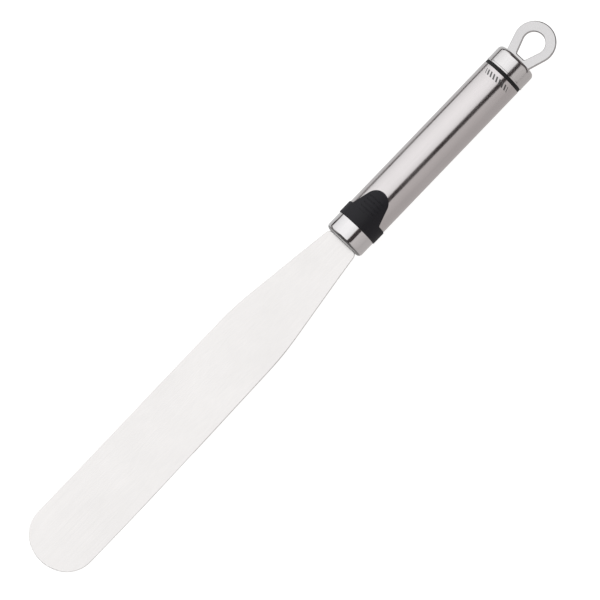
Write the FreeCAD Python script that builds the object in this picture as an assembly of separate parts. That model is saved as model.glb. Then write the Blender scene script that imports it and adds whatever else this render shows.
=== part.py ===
import FreeCAD, Part

import math
import os

from FreeCAD import Vector

# Straight icing spatula: flexible steel blade, hollow steel handle, soft grip collar, hanging loop.
#
# The tool lies along X: blade tip towards -X, hanging loop towards +X, thumb tongue of the collar on
# top. Everything is first drawn about the handle's axis, with x = 0 on the handle's front face. It is
# then moved so that the origin is the middle of the whole tool's underside. Lengths in millimetres.

# ---- driving dimensions -------------------------------------------------------------------------
BLADE_LENGTH = 212.95       # handle's front face to blade tip
BLADE_TIP_HALF = 17.95      # half width where the round end starts
BLADE_TIP_R = 20.0          # radius at the very tip; tighter arcs join it to the sides
BLADE_TIP_SPREAD = 30.0     # degrees of that radius each side of the tip
BLADE_ROOT_HALF = 17.15     # half width where the taper to the neck starts
BLADE_ROOT_X = -59.7
BLADE_ROOT_BLEND = 150.0    # radius that softens the start of the taper
BLADE_FULL_X = -150.0       # the sides run parallel from here to the round end
BLADE_FULL_BLEND = 3000.0
NECK_HALF = 8.95            # half width at the handle's front face
NECK_CORNER = 2.4
BLADE_THICK = 1.0
BLADE_BEND_X = -14.0        # the blade dips from here...
BLADE_BEND_R = 80.0
BLADE_LEVEL_X = -163.0      # ...to here, where its underside is level with the collar's
BLADE_LEVEL_R = 500.0
BLADE_EDGE_ROUND = 0.25
TANG_LENGTH = 56.0
TANG_HALF = 6.0
TANG_THICK = 0.8            # skimmed, so the blade has a shoulder all round
TANG_CORNER = 2.0
TANG_LAP = 1.0              # how far the tang is drawn into the blade
RIVET_X = (35.5, 47.5)      # behind the tongue, between the core's grooves

HANDLE_R = 11.0             # tube and both caps
TUBE_WALL = 0.6
CAP_WALL = 0.8
CAP_MOUTH_ROUND = 0.2
TUBE_MOUTH_ROUND = 0.15
FRONT_CAP_LENGTH = 9.5
FRONT_CAP_ROUND = 2.0
COLLAR_END = 16.75          # the collar runs from the front cap to here
COLLAR_R = 11.4
COLLAR_SEAT_R = 9.6         # the collar's bore, on the core
COLLAR_EDGE_ROUND = 0.35
TONGUE_R = 11.3             # outside of the thumb tongue
TONGUE_TIP_X = 30.15
TONGUE_TIP_ROUND = 6.4
TONGUE_LEAN = -16.5         # degrees; the tongue widens towards the collar
TONGUE_ROOT_ROUND = 0.8     # between its sides and the collar's back edge
TONGUE_LAP = 2.0            # how far it is drawn into the collar
TONGUE_EDGE_ROUND = 0.25
THUMB_GROOVES = 4           # plain shallow grooves across the tongue
THUMB_GROOVE_X = 18.6
THUMB_GROOVE_STEP = 2.2
THUMB_GROOVE_WIDTH = 0.8
THUMB_GROOVE_DEPTH = 0.2
THUMB_GROOVE_SPREAD = 24.0  # degrees each side of the top
TUBE_END = 111.1
SEAL_END = 112.85
SEAL_R = 10.8
SEAL_SEAT_R = 9.0
SEAL_EDGE_ROUND = 0.3
HANDLE_LENGTH = 122.75
END_CAP_ROUND = 2.3
LIP_R = 11.15               # low bead round the end cap's mouth
LIP_BACK_R = 11.09          # the bead slopes down to this...
LIP_LENGTH = 0.9
LIP_MOUTH_ROUND = 0.45
LIP_STEP_LENGTH = 0.2       # ...and then more steeply to the cap
LIP_STEP_ROUND = 0.25

CORE_END = 60.0             # the two-part plastic core fills the front of the handle
CORE_BAND = 3.0             # widths of its bands and of the grooves between them
CORE_GROOVE_DEPTH = 1.4
CORE_GROOVE_ROUND = 0.4
CORE_BAND_LAP = 0.85        # from the tongue's tip to the first groove
CORE_END_ROUND = 0.8        # on the inner ends of the core and the plug
PLUG_START = 92.0           # plastic plug in the back of the handle
PLUG_HOLLOW_R = 7.0
PLUG_HOLLOW_LENGTH = 6.0

LOOP_THICK = 2.0
LOOP_CENTRE_X = 134.7
LOOP_R = 10.6
LOOP_LEAN = 17.9            # degrees; the loop narrows towards the cap
LOOP_HOLE_X = 134.2         # centre of the hole's round end
LOOP_HOLE_R = 5.6
LOOP_HOLE_LEAN = 20.0
LOOP_HOLE_BASE_X = 124.8
LOOP_HOLE_CORNER = 0.8
LOOP_EDGE_ROUND = 0.7
LOOP_TAIL_HALF = 6.0
LOOP_TAIL_X = 98.5
LOOP_TAIL_CORNER = 1.5
LOOP_LAP = 0.5              # how far the tail is drawn into the loop
LOOP_PIN_X = 104.0

RIVET_R = 1.5
RIVET_HEAD_R = 2.9
RIVET_HEAD_THICK = 1.1
RIVET_HEAD_Z = 7.2          # underside of each rivet head, from the handle's axis
WASHER_THICK = 0.5
PIN_R = 1.25
PIN_BORE_R = 0.75
PIN_HALF_LENGTH = 8.5
PIN_SLOT = 0.5
PEG_R = 1.0                 # pegs that line the two core halves up
PEG_LENGTH = 2.0
PEG_X = 13.0
PEG_Y = 7.6

GAP = 0.05                  # clearance between pieces that are pushed together
SLOT_GAP = 0.1              # clearance round the tang and the loop's tail in the caps
PRESS_FACE = 0.02           # end float between pieces stacked along the handle
OVERCUT = 1.0               # how far cutters and laps run past the faces that they meet

ALL_LENGTH = BLADE_LENGTH + LOOP_CENTRE_X + LOOP_R
FRONT_FACE_X = BLADE_LENGTH - ALL_LENGTH / 2
AXIS_Z = COLLAR_R

TINY = 1e-4
BROAD_FACE_Z = 0.9
X_AXIS = Vector(1, 0, 0)
Z_AXIS = Vector(0, 0, 1)
ORIGIN = Vector(0, 0, 0)


# ---- drawing helpers ----------------------------------------------------------------------------
def rounded_path(corners, closed=False):
    """Edges through corners (x, y, radius), each corner with a radius replaced by a tangent arc."""
    points = [Vector(x, y, 0) for x, y, _ in corners]
    radii = [radius for _, _, radius in corners]
    count = len(points)
    ways_in, arcs = [], []
    for i, point in enumerate(points):
        inner = closed or 0 < i < count - 1
        if not inner or radii[i] == 0:
            ways_in.append((point, point))
            arcs.append(None)
            continue
        back = (points[i - 1] - point).normalize()
        ahead = (points[(i + 1) % count] - point).normalize()
        half = back.getAngle(ahead) / 2
        reach = radii[i] / math.tan(half)
        centre = point + (back + ahead).normalize() * (radii[i] / math.sin(half))
        middle = centre + (point - centre).normalize() * radii[i]
        start, end = point + back * reach, point + ahead * reach
        ways_in.append((start, end))
        arcs.append(Part.Arc(start, middle, end).toShape())
    edges = []
    for i in range(count if closed else count - 1):
        if arcs[i]:
            edges.append(arcs[i])
        start, end = ways_in[i][1], ways_in[(i + 1) % count][0]
        if (end - start).Length > TINY:
            edges.append(Part.LineSegment(start, end).toShape())
    if not closed and arcs[-1]:
        edges.append(arcs[-1])
    return edges


def solid_of(edges, bottom, top):
    """Flat outline in XY made into a plate from bottom to top."""
    face = Part.Face(Part.Wire(Part.__sortEdges__(edges)))
    plate = face.extrude(Z_AXIS * (top - bottom))
    plate.translate(Z_AXIS * bottom)
    return plate


def turned(corners):
    """Closed profile of (x, radius from the axis, corner radius) turned about the handle's axis."""
    wire = Part.Wire(Part.__sortEdges__(rounded_path(corners, closed=True)))
    return Part.Face(wire).revolve(ORIGIN, X_AXIS, 360)


def rod(radius, low, high, x, y=0.0):
    """Upright cylinder at (x, y) from z = low to z = high."""
    return Part.makeCylinder(radius, high - low, Vector(x, y, low), Z_AXIS)


def block(x0, x1, half_width, low, high):
    """Box that is centred across the tool."""
    return Part.makeBox(x1 - x0, 2 * half_width, high - low, Vector(x0, -half_width, low))


def mirrored_outline(side, tip_x):
    """Closed outline: side, from the centre line to its round end, its mirror image and the end's arc."""
    mirror = [(x, -y, radius) for x, y, radius in side]
    x, y, _ = side[-1]
    arc = Part.Arc(Vector(x, y, 0), Vector(tip_x, 0, 0), Vector(x, -y, 0)).toShape()
    return rounded_path(side) + rounded_path(mirror) + [arc]


def leaning_side(centre_x, radius, base_x, lean):
    """Where a straight side touches a round end, and its half width at base_x.

    The sides close in towards the base if lean (degrees) is positive and open out if it is negative.
    """
    angle = math.radians(lean)
    touch_x = centre_x - radius * math.sin(angle)
    touch_y = radius * math.cos(angle)
    return touch_x, touch_y, touch_y - math.tan(angle) * (touch_x - base_x)


def tear(centre_x, radius, base_x, lean, base_corner=0.0):
    """Outline of a round end on two leaning sides, cut off straight at base_x."""
    touch_x, touch_y, base_y = leaning_side(centre_x, radius, base_x, lean)
    side = [(base_x, 0, 0), (base_x, base_y, base_corner), (touch_x, touch_y, 0)]
    return mirrored_outline(side, centre_x + radius)


def tail_plate(x0, x1, half_width, thick, corner):
    """Flat tail from x0 to x1 with rounded corners at its x1 end."""
    corners = [
        (x0, -half_width, 0),
        (x1, -half_width, corner),
        (x1, half_width, corner),
        (x0, half_width, 0),
    ]
    return solid_of(rounded_path(corners, closed=True), -thick / 2, thick / 2)


def rims(shape, seat_x):
    """Edges between a broad face, upper or lower, and the side walls, apart from the seat at seat_x."""
    broad = []
    for face in shape.Faces:
        u, v = face.Surface.parameter(face.CenterOfMass)
        if abs(face.normalAt(u, v).z) > BROAD_FACE_Z:
            broad.append(face)
    edges = [edge for face in broad for edge in face.Edges]
    outer = [edge for edge in edges if sum(edge.isSame(other) for other in edges) == 1]
    return [edge for edge in outer if abs(edge.CenterOfMass.x - seat_x) > TINY]


# ---- blade --------------------------------------------------------------------------------------
def dipping_strip():
    """Strip of the blade's thickness that dips from the handle's axis to the level of the collar."""
    drop = AXIS_Z - BLADE_THICK / 2
    line = rounded_path(
        [
            (BLADE_THICK, 0, 0),
            (BLADE_BEND_X, 0, BLADE_BEND_R),
            (BLADE_LEVEL_X, -drop, BLADE_LEVEL_R),
            (-BLADE_LENGTH - BLADE_THICK, -drop, 0),
        ]
    )
    face = Part.Wire(Part.__sortEdges__(line)).makeOffset2D(BLADE_THICK / 2, 0, True, False)
    strip = face.extrude(Z_AXIS * 4 * HANDLE_R)
    strip.rotate(ORIGIN, X_AXIS, 90)
    strip.translate(Vector(0, 2 * HANDLE_R, 0))
    return strip


def tip_side():
    """Corner and end of the arc that joins the blade's side to the broad arc at its tip."""
    angle = math.radians(BLADE_TIP_SPREAD)
    end_x = -BLADE_LENGTH + BLADE_TIP_R * (1 - math.cos(angle))
    end_y = BLADE_TIP_R * math.sin(angle)
    reach = (BLADE_TIP_HALF - end_y) / math.cos(angle)
    radius = reach * math.tan(math.pi / 4 + angle / 2)
    return [(end_x + reach * math.sin(angle), BLADE_TIP_HALF, radius), (end_x, end_y, 0)]


def blade():
    """Rounded flexible blade, tapering to a neck, with a narrow tang that carries two rivet holes."""
    side = [
        (0, 0, 0),
        (0, NECK_HALF, NECK_CORNER),
        (BLADE_ROOT_X, BLADE_ROOT_HALF, BLADE_ROOT_BLEND),
        (BLADE_FULL_X, BLADE_TIP_HALF, BLADE_FULL_BLEND),
    ] + tip_side()
    prism = solid_of(mirrored_outline(side, -BLADE_LENGTH), -2 * HANDLE_R, 2 * HANDLE_R)
    leaf = prism.common(dipping_strip())
    leaf = leaf.makeFillet(BLADE_EDGE_ROUND, rims(leaf, 0))
    tang = tail_plate(-TANG_LAP, TANG_LENGTH, TANG_HALF, TANG_THICK, TANG_CORNER)
    for x in RIVET_X:
        tang = tang.cut(rod(RIVET_R + GAP, -BLADE_THICK, BLADE_THICK, x))
    return leaf.fuse(tang).removeSplitter()


# ---- front of the handle ------------------------------------------------------------------------
def front_cap():
    """Deep-drawn cup that closes the front of the handle, slotted for the tang."""
    inner = HANDLE_R - CAP_WALL
    cup = turned(
        [
            (0, 0, 0),
            (0, HANDLE_R, FRONT_CAP_ROUND),
            (FRONT_CAP_LENGTH, HANDLE_R, CAP_MOUTH_ROUND),
            (FRONT_CAP_LENGTH, inner, 0),
            (CAP_WALL, inner, FRONT_CAP_ROUND - CAP_WALL),
            (CAP_WALL, 0, 0),
        ]
    )
    high = TANG_THICK / 2 + GAP
    return cup.cut(block(-OVERCUT, 2 * CAP_WALL, TANG_HALF + SLOT_GAP, -high, high))


def core_outside():
    """Full round of the core: nose in the front cap, seat for the collar, banded body in the tube."""
    nose_r = HANDLE_R - CAP_WALL - GAP
    body_r = HANDLE_R - TUBE_WALL - GAP
    corners = [
        (CAP_WALL + GAP, 0, 0),
        (CAP_WALL + GAP, nose_r, FRONT_CAP_ROUND - CAP_WALL + GAP),
        (FRONT_CAP_LENGTH, nose_r, 0),
        (FRONT_CAP_LENGTH, COLLAR_SEAT_R, 0),
        (COLLAR_END, COLLAR_SEAT_R, 0),
        (COLLAR_END, body_r, 0),
    ]
    low = body_r - CORE_GROOVE_DEPTH
    x = TONGUE_TIP_X + CORE_BAND_LAP
    while x + 2 * CORE_BAND < CORE_END:
        corners += [
            (x, body_r, 0),
            (x, low, CORE_GROOVE_ROUND),
            (x + CORE_BAND, low, CORE_GROOVE_ROUND),
            (x + CORE_BAND, body_r, 0),
        ]
        x += 2 * CORE_BAND
    corners += [(CORE_END, body_r, CORE_END_ROUND), (CORE_END, 0, 0)]
    return turned(corners)


def core_half(side):
    """Upper (side 1) or lower (side -1) half of the core, with its half of the tang pocket."""
    big = 2 * HANDLE_R
    low, high = (0, big) if side > 0 else (-big, 0)
    half = core_outside().common(block(0, CORE_END + OVERCUT, big, low, high))
    deep = TANG_THICK / 2 + GAP / 2
    half = half.cut(block(0, TANG_LENGTH + GAP, TANG_HALF + GAP, -deep, deep))
    for x in RIVET_X:
        half = half.cut(rod(RIVET_R + GAP, -big, big, x))
        head = (RIVET_HEAD_Z, big) if side > 0 else (-big, -RIVET_HEAD_Z + WASHER_THICK)
        half = half.cut(rod(RIVET_HEAD_R + SLOT_GAP, head[0], head[1], x))
    for y in (-PEG_Y, PEG_Y):
        if side > 0:
            half = half.fuse(rod(PEG_R, -PEG_LENGTH, OVERCUT, PEG_X, y))
        else:
            half = half.cut(rod(PEG_R + GAP, -PEG_LENGTH - 2 * GAP, OVERCUT, PEG_X, y))
    return half


def rivet(x):
    """Solid rivet through both core halves and the tang, domed on top and closed on a washer below."""
    shank = rod(RIVET_R, -RIVET_HEAD_Z, RIVET_HEAD_Z, x)
    sphere_r = (RIVET_HEAD_R**2 + RIVET_HEAD_THICK**2) / (2 * RIVET_HEAD_THICK)
    heads = []
    for side in (1, -1):
        ball = Part.makeSphere(sphere_r, Vector(x, 0, side * (RIVET_HEAD_Z + RIVET_HEAD_THICK - sphere_r)))
        cut_low, cut_high = sorted((side * RIVET_HEAD_Z, side * (RIVET_HEAD_Z + sphere_r)))
        heads.append(ball.common(block(x - sphere_r, x + sphere_r, sphere_r, cut_low, cut_high)))
    return shank.fuse(heads[0]).fuse(heads[1])


def rivet_washer(x):
    """Flat washer under the rivet's closed end."""
    disc = rod(RIVET_HEAD_R, -RIVET_HEAD_Z, -RIVET_HEAD_Z + WASHER_THICK, x)
    return disc.cut(rod(RIVET_R + GAP, -HANDLE_R, HANDLE_R, x))


def tongue_outline(grow=0.0):
    """Thumb tongue seen from above: round tip, sides that open out, rounded into the collar's back."""
    centre_x = TONGUE_TIP_X - TONGUE_TIP_ROUND
    radius = TONGUE_TIP_ROUND + grow
    back_x = COLLAR_END + grow
    touch_x, touch_y, root_y = leaning_side(centre_x, radius, back_x, TONGUE_LEAN)
    foot_y = root_y + 2 * TONGUE_ROOT_ROUND
    start_x = COLLAR_END - TONGUE_LAP
    side = [
        (start_x, 0, 0),
        (start_x, foot_y, 0),
        (back_x, foot_y, 0),
        (back_x, root_y, TONGUE_ROOT_ROUND),
        (touch_x, touch_y, 0),
    ]
    return mirrored_outline(side, centre_x + radius)


def thumb_groove(x):
    """Cutter for one shallow round-bottomed groove across the top of the tongue."""
    half = THUMB_GROOVE_WIDTH / 2
    depth = THUMB_GROOVE_DEPTH
    radius = (half**2 + depth**2) / (2 * depth)
    sweep = 2 * THUMB_GROOVE_SPREAD
    cutter = Part.makeTorus(TONGUE_R - depth + radius, radius, ORIGIN, X_AXIS, 0, 360, sweep)
    cutter.rotate(ORIGIN, X_AXIS, -THUMB_GROOVE_SPREAD)
    cutter.translate(X_AXIS * x)
    return cutter


def tongue_rim(tongue):
    """Edges round the tongue's outside that show behind the collar."""
    found = []
    for edge in tongue.Edges:
        middle = edge.valueAt((edge.FirstParameter + edge.LastParameter) / 2)
        on_outside = abs(math.hypot(middle.y, middle.z) - TONGUE_R) < TINY
        if on_outside and middle.x > COLLAR_END - TINY:
            found.append(edge)
    return found


def grip_collar():
    """Soft collar round the core, with the thumb tongue that lies in the tube's notch."""
    start = FRONT_CAP_LENGTH + PRESS_FACE
    ring = turned(
        [
            (start, COLLAR_SEAT_R + GAP, 0),
            (start, COLLAR_R, COLLAR_EDGE_ROUND),
            (COLLAR_END, COLLAR_R, COLLAR_EDGE_ROUND),
            (COLLAR_END, COLLAR_SEAT_R + GAP, 0),
        ]
    )
    inner = HANDLE_R - TUBE_WALL
    middle = (start + COLLAR_END) / 2
    skin = turned(
        [
            (middle, inner, 0),
            (middle, TONGUE_R, 0),
            (TONGUE_TIP_X + OVERCUT, TONGUE_R, 0),
            (TONGUE_TIP_X + OVERCUT, inner, 0),
        ]
    )
    tongue = skin.common(solid_of(tongue_outline(), 0, 2 * HANDLE_R))
    tongue = tongue.makeFillet(TONGUE_EDGE_ROUND, tongue_rim(tongue))
    collar = ring.fuse(tongue)
    for i in range(THUMB_GROOVES):
        collar = collar.cut(thumb_groove(THUMB_GROOVE_X + i * THUMB_GROOVE_STEP))
    return collar


def handle_tube():
    """Thin steel tube from the collar to the seal, notched on top for the thumb tongue."""
    start = COLLAR_END + PRESS_FACE
    tube = turned(
        [
            (start, HANDLE_R, TUBE_MOUTH_ROUND),
            (TUBE_END, HANDLE_R, TUBE_MOUTH_ROUND),
            (TUBE_END, HANDLE_R - TUBE_WALL, 0),
            (start, HANDLE_R - TUBE_WALL, 0),
        ]
    )
    return tube.cut(solid_of(tongue_outline(GAP), 0, 2 * HANDLE_R))


# ---- back of the handle -------------------------------------------------------------------------
def seal_ring():
    """Black ring between the tube and the end cap, slightly below the steel, with a crowned outside."""
    start, end = TUBE_END + PRESS_FACE, SEAL_END - PRESS_FACE
    return turned(
        [
            (start, SEAL_SEAT_R + GAP, 0),
            (start, SEAL_R, SEAL_EDGE_ROUND),
            (end, SEAL_R, SEAL_EDGE_ROUND),
            (end, SEAL_SEAT_R + GAP, 0),
        ]
    )


def rear_plug():
    """Plastic plug that fills the back of the handle and holds the loop's tail."""
    body_r = HANDLE_R - TUBE_WALL - GAP
    cap_r = HANDLE_R - CAP_WALL - GAP
    end = HANDLE_LENGTH - CAP_WALL - GAP
    plug = turned(
        [
            (PLUG_START + PLUG_HOLLOW_LENGTH, 0, 0),
            (PLUG_START + PLUG_HOLLOW_LENGTH, PLUG_HOLLOW_R, CORE_END_ROUND),
            (PLUG_START, PLUG_HOLLOW_R, 0),
            (PLUG_START, body_r, CORE_END_ROUND),
            (TUBE_END, body_r, 0),
            (TUBE_END, SEAL_SEAT_R, 0),
            (SEAL_END, SEAL_SEAT_R, 0),
            (SEAL_END, cap_r, 0),
            (end, cap_r, END_CAP_ROUND - CAP_WALL + GAP),
            (end, 0, 0),
        ]
    )
    half = LOOP_THICK / 2 + GAP
    plug = plug.cut(block(LOOP_TAIL_X - GAP, HANDLE_LENGTH, LOOP_TAIL_HALF + GAP, -half, half))
    return plug.cut(rod(PIN_R + GAP / 2, -HANDLE_R, HANDLE_R, LOOP_PIN_X))


def end_cap():
    """Deep-drawn cup over the plug, with a low bead round its mouth and a slot for the loop's tail."""
    inner = HANDLE_R - CAP_WALL
    bead_end = SEAL_END + LIP_LENGTH
    cup = turned(
        [
            (HANDLE_LENGTH, 0, 0),
            (HANDLE_LENGTH, HANDLE_R, END_CAP_ROUND),
            (bead_end + LIP_STEP_LENGTH, HANDLE_R, 0),
            (bead_end, LIP_BACK_R, LIP_STEP_ROUND),
            (SEAL_END, LIP_R, LIP_MOUTH_ROUND),
            (SEAL_END, inner, 0),
            (HANDLE_LENGTH - CAP_WALL, inner, END_CAP_ROUND - CAP_WALL),
            (HANDLE_LENGTH - CAP_WALL, 0, 0),
        ]
    )
    half = LOOP_THICK / 2 + GAP
    start, end = HANDLE_LENGTH - 2 * CAP_WALL, HANDLE_LENGTH + OVERCUT
    return cup.cut(block(start, end, LOOP_TAIL_HALF + SLOT_GAP, -half, half))


def hanging_loop():
    """Stamped loop with a tear-shaped hole, its shoulders on the cap and its tail in the plug."""
    half = LOOP_THICK / 2
    ring = solid_of(tear(LOOP_CENTRE_X, LOOP_R, HANDLE_LENGTH, LOOP_LEAN), -half, half)
    hole = tear(LOOP_HOLE_X, LOOP_HOLE_R, LOOP_HOLE_BASE_X, LOOP_HOLE_LEAN, LOOP_HOLE_CORNER)
    ring = ring.cut(solid_of(hole, -LOOP_THICK, LOOP_THICK))
    ring = ring.makeFillet(LOOP_EDGE_ROUND, rims(ring, HANDLE_LENGTH))
    tail = tail_plate(-HANDLE_LENGTH - LOOP_LAP, -LOOP_TAIL_X, LOOP_TAIL_HALF, LOOP_THICK, LOOP_TAIL_CORNER)
    tail.rotate(ORIGIN, Z_AXIS, 180)
    tail = tail.cut(rod(PIN_R + GAP / 2, -LOOP_THICK, LOOP_THICK, LOOP_PIN_X))
    return ring.fuse(tail).removeSplitter()


def loop_pin():
    """Slotted spring pin across the plug, through the hole in the loop's tail."""
    pin = rod(PIN_R, -PIN_HALF_LENGTH, PIN_HALF_LENGTH, LOOP_PIN_X)
    pin = pin.cut(rod(PIN_BORE_R, -PIN_HALF_LENGTH, PIN_HALF_LENGTH, LOOP_PIN_X))
    slot = Part.makeBox(PIN_SLOT, 2 * PIN_R, 2 * PIN_HALF_LENGTH)
    slot.translate(Vector(LOOP_PIN_X - PIN_SLOT / 2, 0, -PIN_HALF_LENGTH))
    return pin.cut(slot)


# ---- export -------------------------------------------------------------------------------------
def pieces():
    """Every node of the tool and its solids."""
    return {
        "blade": [blade()],
        "front_cap": [front_cap()],
        "core_upper_half": [core_half(1)],
        "core_lower_half": [core_half(-1)],
        "tang_rivets": [rivet(x) for x in RIVET_X],
        "rivet_washers": [rivet_washer(x) for x in RIVET_X],
        "grip_collar": [grip_collar()],
        "handle_tube": [handle_tube()],
        "seal_ring": [seal_ring()],
        "rear_plug": [rear_plug()],
        "end_cap": [end_cap()],
        "hanging_loop": [hanging_loop()],
        "loop_pin": [loop_pin()],
    }


def main():
    os.makedirs("parts", exist_ok=True)
    for name, solids in pieces().items():
        whole = Part.makeCompound([solid for shape in solids for solid in shape.Solids])
        whole.translate(Vector(FRONT_FACE_X, 0, AXIS_Z))
        if not whole.isValid():
            raise RuntimeError(name + " isn't a valid shape")
        whole.exportStep("parts/" + name + ".step")
        print(name, len(whole.Solids), round(whole.Volume, 1))


main()
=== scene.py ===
import math

import bpy
from mathutils import Matrix, Vector


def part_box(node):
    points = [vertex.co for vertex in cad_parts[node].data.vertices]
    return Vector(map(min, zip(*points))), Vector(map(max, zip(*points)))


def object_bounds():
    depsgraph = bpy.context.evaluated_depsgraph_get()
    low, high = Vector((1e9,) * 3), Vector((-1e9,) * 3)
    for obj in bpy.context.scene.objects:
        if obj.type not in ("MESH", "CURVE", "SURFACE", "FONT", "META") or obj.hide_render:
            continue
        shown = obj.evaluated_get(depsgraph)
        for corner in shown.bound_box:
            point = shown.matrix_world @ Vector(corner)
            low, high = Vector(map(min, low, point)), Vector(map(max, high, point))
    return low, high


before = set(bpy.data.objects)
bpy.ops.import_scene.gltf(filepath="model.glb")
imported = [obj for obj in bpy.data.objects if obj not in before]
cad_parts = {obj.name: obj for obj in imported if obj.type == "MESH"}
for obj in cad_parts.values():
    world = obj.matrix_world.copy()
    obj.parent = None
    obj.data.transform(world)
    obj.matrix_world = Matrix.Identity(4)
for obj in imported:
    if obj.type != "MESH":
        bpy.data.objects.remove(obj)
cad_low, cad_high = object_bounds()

# Icing spatula with a hollow steel handle. Metres, in the CAD frame: +X runs to the hanging loop, +Z up,
# and the handle's axis lies along X. Angles about that axis turn from straight up towards -Y.

tube_low, tube_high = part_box("handle_tube")
AXIS_Z = (tube_low.z + tube_high.z) / 2
TUBE_R = (tube_high.z - tube_low.z) / 2

# The camera looks down at the tool, tilted a little towards the blade's tip and towards -Y.
TILT_TO_TIP = math.radians(3.5)
TILT_TO_SIDE = math.radians(9.45)
PICTURE_TURN = math.radians(46.12)
CAMERA_DISTANCE = 5.07
VIEW_WIDTH = 0.29088        # what the picture spans at the middle of the tool
CLIP_NEAR = 0.1
CLIP_FAR = 30.0
AIM_OFFSET = Vector((-0.00107, -0.00461, 0.0))  # from the middle of the tool to the picture's centre

# The studio: a tent of light bent about the handle's axis, with black cards that only reflections show.
TENT_R = 1.5
TENT_FROM, TENT_TO = -90.0, 17.0
TENT_REACH = 42.0           # degrees from straight up to each end of the tent
TENT_HALF_LENGTH = TENT_R * math.tan(math.radians(TENT_REACH))
TENT_LIGHT = 1.28
TENT_LOW_SHARE = 0.85       # how bright the tent is at the floor
TENT_FULL_FROM = -45.0
TENT_TOP_SHARE = 0.84       # how bright it is at its upper edge
TENT_FULL_TO = -12.0
CARD_R = 1.4
CARD_COLOUR = (0.049, 0.041, 0.041, 1.0)
CARD_FROM, CARD_TO = 20.4, 40.6
END_CARD_FROM, END_CARD_TO = 50.0, 87.0
END_CARD_SPREAD = 32.0
FLOOR_IN_STEEL = (0.58, 0.553, 0.542, 1.0)  # how the floor looks in the steel
FILL_LOW = (0.60, 0.572, 0.560, 1.0)    # the room's light at the horizon...
FILL_HIGH = (0.71, 0.680, 0.668, 1.0)   # ...and overhead
FILL_HIGH_AT = 0.7

# Sheets on the floor that only reflections show: name, x range, y range, brightness (0 is the black card's).
FAR = TENT_HALF_LENGTH
FLOOR_SHEETS = (
    ("lit_floor_far", (-FAR, FAR), (0.118, TENT_R), 1.05),
    ("lit_floor_near", (0.02, FAR), (0.012, 0.050), 0.72),
    ("lit_floor_under_blade", (-0.22, -0.09), (-0.050, 0.050), 1.20),
    ("dark_floor_by_cap", (-FAR, 0.042), (0.047, 0.082), 0.0),
    ("dark_floor_by_tube", (0.042, FAR), (0.058, 0.114), 0.0),
    ("dark_floor_loop", (0.19, FAR), (-0.60, 0.60), 0.0),
)
FLOOR_SHEET_STEP = 0.00002  # each sheet lies this much above the one before
FLOOR_HALF = 6.0
FLOOR_Z = -0.0001           # just below the sheets
FLOOR_GREY = (0.35, 0.35, 0.35, 1.0)
FLOOR_ROUGHNESS = 0.9
FLOOR_GLOW = 0.85
WHITE = (1.0, 1.0, 1.0, 1.0)

# The printed mark on the tube: a plain row of slanted strokes round the top.
MARK_GAP = 0.00197          # from the tube's end to the mark
MARK_HEIGHT = 0.0026
MARK_CENTRE = math.radians(5.0)
MARK_SPAN = math.radians(79.0)
STROKE_PITCH = 0.00190
STROKE_WIDTH = 0.00093
STROKE_SLANT = 0.45
STROKE_BLUR = 0.00006       # half width of a stroke's soft edge
INK = (0.13, 0.13, 0.13, 1.0)
INK_ROUGHER = 0.3           # than the steel beside it

# Painted shade on the front cap where it faces the blade: a darker grey, and rougher, that stands in for the
# dark reflection in the crease where the blade enters. Not at all at the first X of its normal, fully at the
# next.
PAINTED_SHADE_FACING = (-0.52, -0.66)
PAINTED_SHADE_GREY = (0.25, 0.25, 0.25, 1.0)
PAINTED_SHADE_ROUGHNESS = 0.30


# ---------------------------------------------------------------- node helpers

# The Mix node's sockets for colours.
MIX_A = 6
MIX_B = 7
MIX_RESULT = 2


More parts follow.
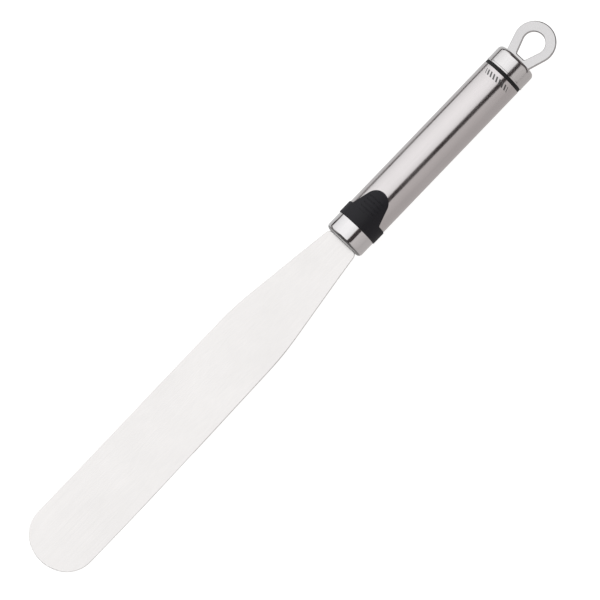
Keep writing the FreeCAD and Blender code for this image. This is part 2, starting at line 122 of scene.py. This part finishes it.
class Graph:
    """One material's node tree, built with short calls."""

    def __init__(self, name):
        self.material = bpy.data.materials.new(name)
        self.material.use_nodes = True
        self.tree = self.material.node_tree
        self.shader = self.tree.nodes["Principled BSDF"]

    def node(self, kind, settings=None, **sockets):
        made = self.tree.nodes.new("ShaderNode" + kind)
        for key, value in (settings or {}).items():
            setattr(made, key, value)
        for key, value in sockets.items():
            self.plug(made.inputs[key.replace("_", " ")], value)
        return made

    def plug(self, socket, value):
        if isinstance(value, bpy.types.NodeSocket):
            self.tree.links.new(value, socket)
        else:
            socket.default_value = value

    def set(self, **sockets):
        for key, value in sockets.items():
            self.plug(self.shader.inputs[key.replace("_", " ")], value)

    def fed(self, name):
        """What is plugged into one of the shader's sockets so far."""
        return self.shader.inputs[name].links[0].from_socket

    def sum(self, operation, *values):
        """Any operation of the Math node."""
        made = self.node("Math", {"operation": operation})
        for socket, value in zip(made.inputs, values):
            self.plug(socket, value)
        return made.outputs[0]

    def place(self):
        """The point being shaded, in the object's own frame, which is the CAD frame."""
        return self.node("TexCoord").outputs["Object"]

    def noise(self, scale, detail, stretch=(1, 1, 1), turn=0.0, roughness=0.5):
        """Soft noise from 0 to 1. stretch squeezes the pattern along each axis, turn turns it about Z."""
        turned = self.node("Mapping", Vector=self.place(), Rotation=(0, 0, turn), Scale=stretch)
        made = self.node("TexNoise", Vector=turned.outputs[0], Scale=scale, Detail=detail,
                         Roughness=roughness)
        return made.outputs["Fac"]

    def remap(self, value, low, high, to_low=0.0, to_high=1.0):
        """Takes low to to_low and high to to_high, and stays at those beyond them."""
        made = self.node("MapRange", Value=value, From_Min=low, From_Max=high, To_Min=to_low, To_Max=to_high)
        return made.outputs[0]

    def blend(self, share, a, b):
        """Colour a where share is 0, colour b where it is 1."""
        made = self.node("Mix", {"data_type": "RGBA"})
        self.plug(made.inputs["Factor"], share)
        self.plug(made.inputs[MIX_A], a)
        self.plug(made.inputs[MIX_B], b)
        return made.outputs[MIX_RESULT]

    def edges(self, radius, low=0.02, high=0.35):
        """1 on sharp and rounded edges narrower than radius, 0 on flat and broad surfaces."""
        soft = self.node("Bevel", Radius=radius).outputs[0]
        true = self.node("NewGeometry").outputs["Normal"]
        match = self.node("VectorMath", {"operation": "DOT_PRODUCT"})
        self.plug(match.inputs[0], soft)
        self.plug(match.inputs[1], true)
        return self.remap(self.sum("SUBTRACT", 1.0, match.outputs["Value"]), low, high)

    def bump(self, height, distance):
        return self.node("Bump", Height=height, Distance=distance, Strength=1.0).outputs[0]


# ---------------------------------------------------------------- finishes

# The part of a noise's range that is stretched over a whole pattern.
NARROW = (0.3, 0.7)
BROAD = (0.2, 0.8)

# Brushed steel.
STEEL_CLOUD_SCALE = 38.0
STEEL_SHADES = (0.97, 1.02)         # the tint's factor in the darker and in the lighter patches
SMUDGE_RANGE = (0.35, 0.75)
SMUDGE_ROUGHER = (-0.03, 0.05)      # change of roughness from the clean to the smudged patches
BRUSH_ROUGHER = (-0.025, 0.025)     # and from one side of the brush lines' range to the other
BRUSH_GREY = (0.40, 0.40, 0.40, 1.0)
BRUSH_SHARE = 0.10
STEEL_EDGE_WIDTH = 0.0006           # how wide the rubbed edges are
STEEL_EDGE_SMOOTHER = 0.05
SCRATCH_GREY = (0.82, 0.82, 0.82, 1.0)
SCRATCH_SHARE = 0.25
SCRATCH_DEPTH = 0.6                 # against the depth of the brush lines

# Two sets of hairline scratches: degrees from X, fineness along X, Y and Z, and rarity.
HAIRS = ((24.0, (90, 2600, 2600), 0.74), (-38.0, (70, 3000, 3000), 0.75))
HAIR_EDGE = 0.06


def steel(name, tint, roughness, lay, depth, scuffs=0.5, anisotropy=0.0):
    """Brushed stainless steel. lay squeezes the brush lines along each axis, depth is theirs in metres."""
    g = Graph(name)
    lines = g.noise(1.0, detail=4, stretch=lay, roughness=0.65)
    cloud = g.noise(STEEL_CLOUD_SCALE, detail=4)
    scratches = g.sum("MAXIMUM", *[hairlines(g, *hair) for hair in HAIRS])
    worn = g.edges(STEEL_EDGE_WIDTH)
    rough = g.sum("ADD", roughness, g.remap(lines, *BROAD, *BRUSH_ROUGHER))
    rough = g.sum("ADD", rough, g.remap(cloud, *SMUDGE_RANGE, *SMUDGE_ROUGHER))
    rough = g.sum("SUBTRACT", rough, g.sum("MULTIPLY", worn, STEEL_EDGE_SMOOTHER))
    colour = patches(g, cloud, tint, STEEL_SHADES)
    colour = g.blend(g.remap(lines, *NARROW, 0.0, BRUSH_SHARE), colour, BRUSH_GREY)
    colour = g.blend(g.sum("MULTIPLY", scratches, SCRATCH_SHARE * scuffs), colour, SCRATCH_GREY)
    height = g.sum("SUBTRACT", lines, g.sum("MULTIPLY", scratches, SCRATCH_DEPTH * scuffs))
    g.set(Base_Color=colour, Metallic=1.0, Roughness=rough, Normal=g.bump(height, depth))
    if anisotropy:
        g.set(Anisotropic=anisotropy, Tangent=g.node("Tangent", {"axis": "X"}).outputs[0])
    return g


def hairlines(g, turn_deg, stretch, rarity):
    """1 on sparse thin lines that lie turn_deg from X, 0 elsewhere."""
    hair = g.noise(1.0, detail=1, stretch=stretch, turn=math.radians(turn_deg))
    return g.remap(hair, rarity, rarity + HAIR_EDGE)


def patches(g, cloud, tint, shades):
    """The tint in soft darker and lighter patches."""
    dark, light = (tuple(c * factor for c in tint) + (1.0,) for factor in shades)
    return g.blend(g.remap(cloud, *NARROW), dark, light)


def cover(g, share, colour, roughness):
    """Lays another colour and roughness over a finish where share is 1."""
    g.set(Base_Color=g.blend(share, g.fed("Base Color"), colour),
          Roughness=g.remap(share, 0.0, 1.0, g.fed("Roughness"), roughness))


def blade_steel():
    return steel("blade_steel", tint=(0.714, 0.698, 0.691), roughness=0.17, lay=(45, 2400, 2400),
                 depth=0.0000012)


def cap_steel():
    """Semi-polished cap, with painted shade (a darker grey, and rougher) on its flat front face and on the
    bend round that, where the blade enters.
    """
    g = steel("cap_steel", tint=(0.703, 0.690, 0.697), roughness=0.11, lay=(60, 900, 900),
              depth=0.0000006, scuffs=0.3)
    facing = g.node("SeparateXYZ", Vector=g.node("NewGeometry").outputs["True Normal"]).outputs["X"]
    # painted shade: a darker grey over the face towards the blade, in place of the dark reflection in the
    # crease
    cover(g, g.remap(facing, *PAINTED_SHADE_FACING), PAINTED_SHADE_GREY, PAINTED_SHADE_ROUGHNESS)
    return g


def end_cap_steel():
    """A little duller than the front cap, and brushed lengthways like the tube."""
    return steel("end_cap_steel", tint=(0.675, 0.662, 0.664), roughness=0.15, lay=(30, 2600, 2600),
                 depth=0.0000010, anisotropy=0.5)


def tube_steel():
    """Satin tube brushed lengthways, with the printed mark near the end cap."""
    g = steel("tube_steel", tint=(0.622, 0.594, 0.597), roughness=0.15, lay=(30, 2600, 2600),
              depth=0.0000012, anisotropy=0.45)
    cover(g, printed_mark(g), INK, g.sum("ADD", g.fed("Roughness"), INK_ROUGHER))
    return g


def loop_steel():
    """The loop's grain has no direction."""
    return steel("loop_steel", tint=(0.575, 0.566, 0.570), roughness=0.19, lay=(700, 700, 700),
                 depth=0.0000025)


def fastener_steel():
    return steel("fastener_steel", tint=(0.52, 0.52, 0.53), roughness=0.32, lay=(500, 1500, 1500),
                 depth=0.0000030)


def printed_mark(g):
    """1 on the strokes of the mark, 0 elsewhere. Strokes lean, and stand in a row round the tube's top."""
    x, y, z = g.node("SeparateXYZ", Vector=g.place()).outputs
    across = g.sum("MULTIPLY", y, -1.0)
    turn = g.sum("ARCTAN2", across, g.sum("SUBTRACT", z, AXIS_Z))
    arc = g.sum("MULTIPLY", g.sum("SUBTRACT", turn, MARK_CENTRE), TUBE_R)
    along = g.sum("SUBTRACT", x, tube_high.x - MARK_GAP - MARK_HEIGHT / 2)
    leaning = g.sum("ADD", arc, g.sum("MULTIPLY", along, STROKE_SLANT))
    stripe = g.sum("PINGPONG", leaning, STROKE_PITCH / 2)
    in_stroke = within(g, stripe, STROKE_WIDTH / 2)
    in_row = within(g, g.sum("ABSOLUTE", leaning), MARK_SPAN * TUBE_R / 2)
    in_height = within(g, g.sum("ABSOLUTE", along), MARK_HEIGHT / 2)
    return g.sum("MULTIPLY", g.sum("MULTIPLY", in_stroke, in_row), in_height)


def within(g, distance, half):
    """1 where distance is less than half, 0 beyond it, with a soft edge."""
    return g.remap(distance, half - STROKE_BLUR, half + STROKE_BLUR, 1.0, 0.0)


# Moulded rubber.
RUBBER_CLOUD_SCALE = 55.0
RUBBER_SHADES = (0.85, 1.25)
RUBBER_ROUGHER = (-0.04, 0.04)
RUBBER_SPECULAR = 0.31
PEBBLE_SCALE = 1900.0
FINE_SCALE = 5200.0
FINE_SHARE = 0.35                   # height of the fine grain against the pebbles
RUBBED_WIDTH = 0.0007
RUBBED_GREY = (0.045, 0.045, 0.045, 1.0)
RUBBED_SHARE = 0.35
RUBBED_SMOOTHER = 0.10
DUST_SCALE = 900.0
DUST_RANGE = (0.70, 0.78)           # the higher, the rarer the specks
DUST_GREY = (0.16, 0.16, 0.16, 1.0)
DUST_SHARE = 0.10


def rubber(name, tint, roughness, grain):
    """Matte moulded rubber with a fine grain, a little dust and slightly polished edges."""
    g = Graph(name)
    cloud = g.noise(RUBBER_CLOUD_SCALE, detail=4)
    pebble = g.noise(PEBBLE_SCALE, detail=2)
    fine = g.noise(FINE_SCALE, detail=1)
    dust = g.remap(g.noise(DUST_SCALE, detail=2), *DUST_RANGE)
    worn = g.edges(RUBBED_WIDTH)
    colour = patches(g, cloud, tint, RUBBER_SHADES)
    colour = g.blend(g.sum("MULTIPLY", dust, DUST_SHARE), colour, DUST_GREY)
    colour = g.blend(g.sum("MULTIPLY", worn, RUBBED_SHARE), colour, RUBBED_GREY)
    rough = g.sum("ADD", roughness, g.remap(cloud, *NARROW, *RUBBER_ROUGHER))
    rough = g.sum("SUBTRACT", rough, g.sum("MULTIPLY", worn, RUBBED_SMOOTHER))
    height = g.sum("ADD", pebble, g.sum("MULTIPLY", fine, FINE_SHARE))
    g.set(Base_Color=colour, Roughness=rough, Normal=g.bump(height, grain),
          Specular_IOR_Level=RUBBER_SPECULAR)
    return g


def grip_rubber():
    return rubber("grip_rubber", tint=(0.0051, 0.0049, 0.0084), roughness=0.58, grain=0.000030)


def seal_rubber():
    return rubber("seal_rubber", tint=(0.0060, 0.0060, 0.0065), roughness=0.62, grain=0.000015)


# The plastic inside the handle.
CORE_DARK = (0.038, 0.038, 0.038, 1.0)
CORE_LIGHT = (0.056, 0.056, 0.056, 1.0)
CORE_ROUGHNESS = (0.40, 0.52)
CORE_SPECULAR = 0.45
CORE_GRAIN = 0.000008
FLOW_SCALE = 26.0
FLOW_STRETCH = (1, 2.5, 2.5)
GRAIN_SCALE = 3000.0


def core_plastic():
    """Dark moulded plastic with a faint flow pattern."""
    g = Graph("core_plastic")
    flow = g.noise(FLOW_SCALE, detail=5, stretch=FLOW_STRETCH)
    grain = g.noise(GRAIN_SCALE, detail=2)
    colour = g.blend(g.remap(flow, *NARROW), CORE_DARK, CORE_LIGHT)
    rough = g.remap(flow, *BROAD, *CORE_ROUGHNESS)
    g.set(Base_Color=colour, Roughness=rough, Normal=g.bump(grain, CORE_GRAIN),
          Specular_IOR_Level=CORE_SPECULAR)
    return g


FINISHES = {
    "blade_steel": blade_steel,
    "cap_steel": cap_steel,
    "tube_steel": tube_steel,
    "loop_steel": loop_steel,
    "fastener_steel": fastener_steel,
    "grip_rubber": grip_rubber,
    "seal_rubber": seal_rubber,
    "core_plastic": core_plastic,
}


def dress_nodes():
    """Gives each CAD node the finish of the material slot that it was packed with."""
    slots = {material: material.name for material in bpy.data.materials}
    for material, slot in slots.items():
        material.name = "packed_" + slot
    finishes = {slot: FINISHES[slot]().material for slot in slots.values()}
    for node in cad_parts.values():
        for place in node.material_slots:
            place.material = finishes[slots[place.material]]
    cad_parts["end_cap"].material_slots[0].material = end_cap_steel().material


# ---------------------------------------------------------------- studio

def emission(name, colour, strength):
    material = bpy.data.materials.new(name)
    material.use_nodes = True
    tree = material.node_tree
    tree.nodes.clear()
    out = tree.nodes.new("ShaderNodeOutputMaterial")
    glow = tree.nodes.new("ShaderNodeEmission")
    glow.inputs["Color"].default_value = colour
    glow.inputs["Strength"].default_value = strength
    tree.links.new(glow.outputs[0], out.inputs["Surface"])
    return material


def stage_mesh(name, points, faces, material):
    mesh = bpy.data.meshes.new(name)
    mesh.from_pydata(points, [], faces)
    mesh.materials.append(material)
    made = bpy.data.objects.new(name, mesh)
    bpy.context.scene.collection.objects.link(made)
    return made


def bent_sheet(name, radius, from_deg, to_deg, x_from, x_to, material, steps=32):
    """A sheet bent about the handle's axis, from one angle to another."""
    points = []
    for i in range(steps + 1):
        angle = math.radians(from_deg + (to_deg - from_deg) * i / steps)
        y = -radius * math.sin(angle)
        z = AXIS_Z + radius * math.cos(angle)
        points += [(x_from, y, z), (x_to, y, z)]
    faces = [(2 * i, 2 * i + 1, 2 * i + 3, 2 * i + 2) for i in range(steps)]
    return stage_mesh(name, points, faces, material)


def dome_patch(name, radius, side, from_deg, to_deg, spread_deg, material, steps=16):
    """A patch of a sphere at one end of the tool. from_deg and to_deg are angles from straight up."""
    points = []
    for i in range(steps + 1):
        down = math.radians(from_deg + (to_deg - from_deg) * i / steps)
        for j in range(steps + 1):
            about = math.radians(spread_deg * (2 * j / steps - 1))
            points.append((side * radius * math.sin(down) * math.cos(about),
                           radius * math.sin(down) * math.sin(about),
                           AXIS_Z + radius * math.cos(down)))
    row = steps + 1
    faces = [(i * row + j, i * row + j + 1, (i + 1) * row + j + 1, (i + 1) * row + j)
             for i in range(steps) for j in range(steps)]
    return stage_mesh(name, points, faces, material)


def only_in_reflections(sheet):
    sheet.visible_camera = False
    sheet.visible_diffuse = False
    sheet.visible_shadow = False
    sheet.visible_transmission = False


def tent_light():
    """Even light over most of the tent, which fades a little towards the floor and the upper edge."""
    g = Graph("tent_light")
    x, y, z = g.node("SeparateXYZ", Vector=g.place()).outputs
    turn = g.sum("ARCTAN2", g.sum("MULTIPLY", y, -1.0), g.sum("SUBTRACT", z, AXIS_Z))
    low = g.remap(turn, math.radians(TENT_FROM), math.radians(TENT_FULL_FROM), TENT_LOW_SHARE, 1.0)
    top = g.remap(turn, math.radians(TENT_FULL_TO), math.radians(TENT_TO), 1.0, TENT_TOP_SHARE)
    share = g.sum("MULTIPLY", low, top)
    glow = g.node("Emission", Color=WHITE, Strength=g.sum("MULTIPLY", share, TENT_LIGHT))
    g.plug(g.tree.nodes["Material Output"].inputs["Surface"], glow.outputs[0])
    return g.material


def tent_of_light():
    tent = bent_sheet("tent", TENT_R, TENT_FROM, TENT_TO, -TENT_HALF_LENGTH, TENT_HALF_LENGTH, tent_light())
    tent.visible_camera = False
    tent.visible_shadow = False


def black_cards(black):
    cards = [bent_sheet("side_card", CARD_R, CARD_FROM, CARD_TO, -CARD_R, CARD_R, black)]
    for name, side in (("tip_card", -1), ("loop_card", 1)):
        cards.append(dome_patch(name, CARD_R, side, END_CARD_FROM, END_CARD_TO, END_CARD_SPREAD, black))
    for card in cards:
        only_in_reflections(card)


def floor_sheets(black):
    for i, (name, (x0, x1), (y0, y1), light) in enumerate(FLOOR_SHEETS):
        z = i * FLOOR_SHEET_STEP
        corners = [(x0, y0, z), (x1, y0, z), (x1, y1, z), (x0, y1, z)]
        paint = emission(name, WHITE, light) if light else black
        only_in_reflections(stage_mesh(name, corners, [(0, 1, 2, 3)], paint))


def pale_floor():
    """A floor that glows, so that it looks near white to the camera, and mid grey in the steel."""
    corners = [(x * FLOOR_HALF, y * FLOOR_HALF, FLOOR_Z) for x, y in ((-1, -1), (1, -1), (1, 1), (-1, 1))]
    g = Graph("floor_paint")
    stage_mesh("floor", corners, [(0, 1, 2, 3)], g.material)
    g.set(Base_Color=FLOOR_GREY, Roughness=FLOOR_ROUGHNESS, Specular_IOR_Level=0.0,
          Emission_Color=WHITE, Emission_Strength=FLOOR_GLOW)
    seen_in_steel = g.node("Emission", Color=FLOOR_IN_STEEL, Strength=1.0)
    path = g.node("LightPath")
    mixed = g.node("MixShader", Fac=path.outputs["Is Glossy Ray"])
    g.plug(mixed.inputs[1], g.shader.outputs[0])
    g.plug(mixed.inputs[2], seen_in_steel.outputs[0])
    g.plug(g.tree.nodes["Material Output"].inputs["Surface"], mixed.outputs[0])


def fill_light():
    """The room: a soft grey fill, warmer and darker towards the horizon, and white behind the tool."""
    world = bpy.data.worlds.new("studio")
    bpy.context.scene.world = world
    world.use_nodes = True
    tree = world.node_tree
    back = tree.nodes["Background"]
    coords = tree.nodes.new("ShaderNodeTexCoord")
    split = tree.nodes.new("ShaderNodeSeparateXYZ")
    ramp = tree.nodes.new("ShaderNodeValToRGB")
    path = tree.nodes.new("ShaderNodeLightPath")
    pick = tree.nodes.new("ShaderNodeMix")
    pick.data_type = "RGBA"
    ramp.color_ramp.elements[0].color = FILL_LOW
    ramp.color_ramp.elements[1].color = FILL_HIGH
    ramp.color_ramp.elements[1].position = FILL_HIGH_AT
    tree.links.new(coords.outputs["Generated"], split.inputs[0])
    tree.links.new(split.outputs["Z"], ramp.inputs["Fac"])
    tree.links.new(path.outputs["Is Camera Ray"], pick.inputs["Factor"])
    tree.links.new(ramp.outputs["Color"], pick.inputs[MIX_A])
    pick.inputs[MIX_B].default_value = WHITE
    tree.links.new(pick.outputs[MIX_RESULT], back.inputs["Color"])


def camera():
    """Looks at the middle of the tool from nearly straight above, with the picture turned."""
    back = Vector((-math.tan(TILT_TO_TIP), -math.tan(TILT_TO_SIDE), 1.0)).normalized()
    level = (Vector((1, 0, 0)) - back * back.x).normalized()
    upright = back.cross(level)
    right = level * math.cos(PICTURE_TURN) - upright * math.sin(PICTURE_TURN)
    up = level * math.sin(PICTURE_TURN) + upright * math.cos(PICTURE_TURN)
    aim = Vector(((cad_low.x + cad_high.x) / 2, (cad_low.y + cad_high.y) / 2, AXIS_Z)) + AIM_OFFSET
    data = bpy.data.cameras.new("camera")
    data.lens = data.sensor_width * CAMERA_DISTANCE / VIEW_WIDTH
    data.clip_start = CLIP_NEAR
    data.clip_end = CLIP_FAR
    made = bpy.data.objects.new("camera", data)
    bpy.context.scene.collection.objects.link(made)
    turn = Matrix((right, up, back)).transposed().to_4x4()
    made.matrix_world = Matrix.Translation(aim + back * CAMERA_DISTANCE) @ turn
    bpy.context.scene.camera = made


dress_nodes()
tent_of_light()
card_black = emission("card_black", CARD_COLOUR, 1.0)
black_cards(card_black)
floor_sheets(card_black)
pale_floor()
fill_light()
camera()
bpy.context.scene.view_settings.view_transform = "Standard"
